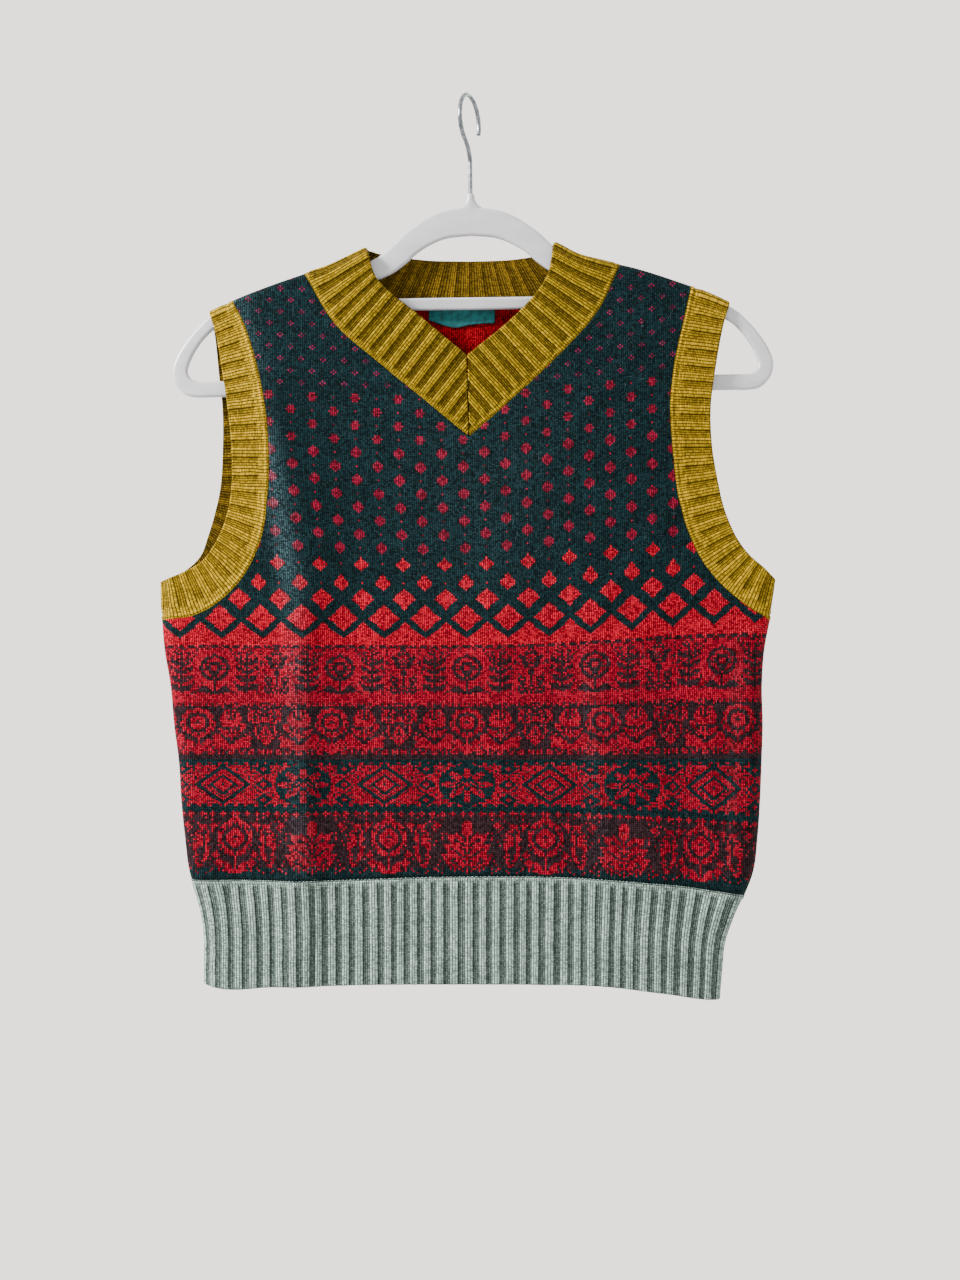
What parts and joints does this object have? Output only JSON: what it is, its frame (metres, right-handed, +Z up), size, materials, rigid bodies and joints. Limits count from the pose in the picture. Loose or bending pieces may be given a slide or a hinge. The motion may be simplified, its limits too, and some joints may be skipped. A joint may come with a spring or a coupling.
{
  "type": "knitted sweater vest on a slim hanger",
  "caption": "Sleeveless V-neck sweater vest in jersey with ribbed neck, armholes and welt, hanging flat on a slim plastic hanger with a wire hook.",
  "frame": {"origin": "top of the inside of the hanger's hook, where a rail carries it", "axes": "+Z up, -Y out of the front of the vest, +X to the right of someone who looks at its front"},
  "size_m": [0.4554, 0.0375, 0.6694],
  "materials": {
    "front_knit": "lambswool jersey, red and dark teal colourwork",
    "back_knit": "lambswool jersey, red and dark teal colourwork",
    "welt_front": "sage wool rib",
    "welt_back": "sage wool rib",
    "neck_rib": "ochre wool rib",
    "arm_rib_left": "ochre wool rib",
    "arm_rib_right": "ochre wool rib",
    "label_tape": "woven satin tape, bare",
    "hanger_plastic": "moulded white polystyrene, satin",
    "hook_wire": "bright zinc-plated steel wire"
  },
  "bodies": {
    "root": {"front": "front_knit", "back": "back_knit", "hem_rib_front": "welt_front", "hem_rib_back": "welt_back", "neckband": "neck_rib", "armband_left": "arm_rib_left", "armband_right": "arm_rib_right", "neck_label": "label_tape", "hanger": "hanger_plastic", "hanger_hook": "hook_wire"}
  },
  "joints": []
}
